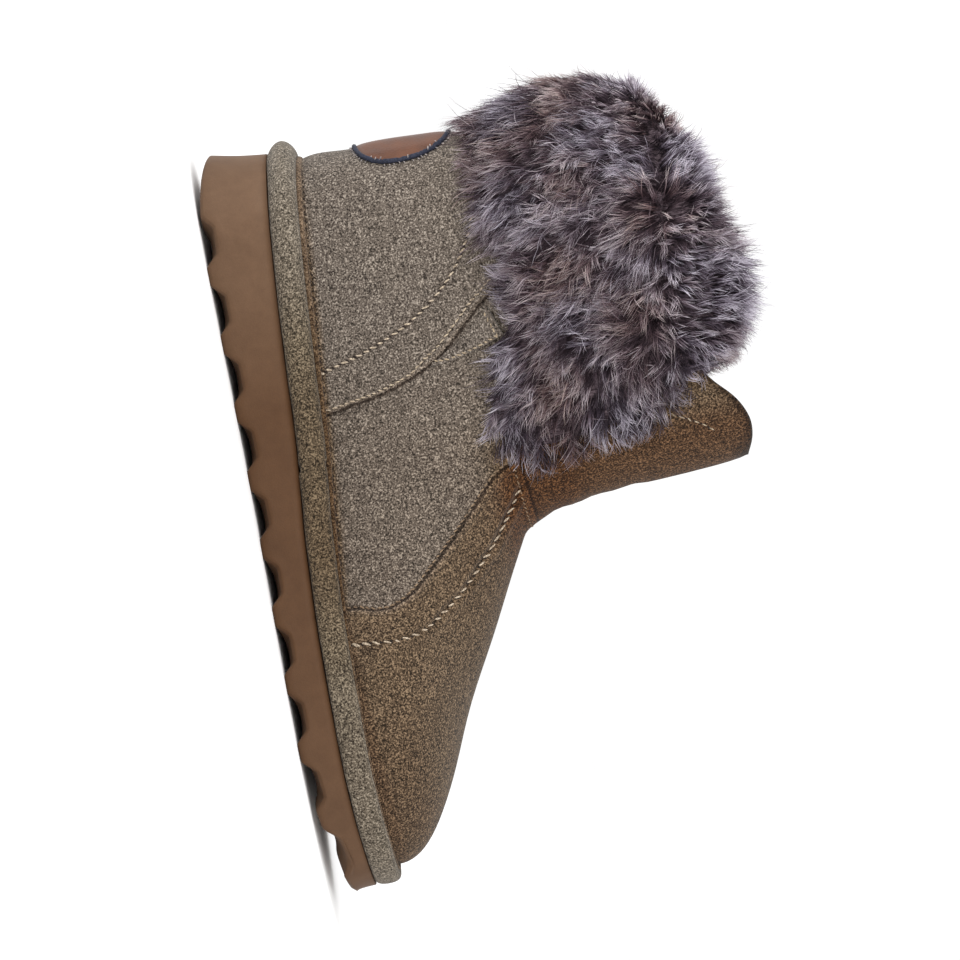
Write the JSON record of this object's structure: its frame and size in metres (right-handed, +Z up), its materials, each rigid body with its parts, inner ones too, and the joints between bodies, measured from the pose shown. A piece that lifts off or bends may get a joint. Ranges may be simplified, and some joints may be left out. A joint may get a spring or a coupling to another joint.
{
  "type": "ankle boot",
  "caption": "Left slip-on ankle boot with a suede upper, a wrapped midsole, a notched flat sole, a deep fur cuff round the shaft and a blank oval leather patch at the heel.",
  "frame": {"origin": "on the floor, in the middle of the heel's first full lug, on the sole's long centre line", "axes": "+X to the toe, +Y to the outer side of the left foot, +Z up"},
  "size_m": [0.2718, 0.1146, 0.1916],
  "materials": {
    "sole_rubber": "matt moulded sole, tan brown",
    "rand_suede": "brushed suede, taupe",
    "fleece": "short off-white fleece",
    "upper_suede": "brushed suede, taupe, speckled",
    "patch_leather": "smooth tan leather, bare",
    "fur": "long faux fur, brown-grey with pale lilac-grey tips"
  },
  "bodies": {
    "root": {"outsole": "sole_rubber", "midsole_wrap": "rand_suede", "insole": "fleece", "upper": "upper_suede", "heel_patch": "patch_leather", "fur_cuff": "fur"}
  },
  "joints": []
}
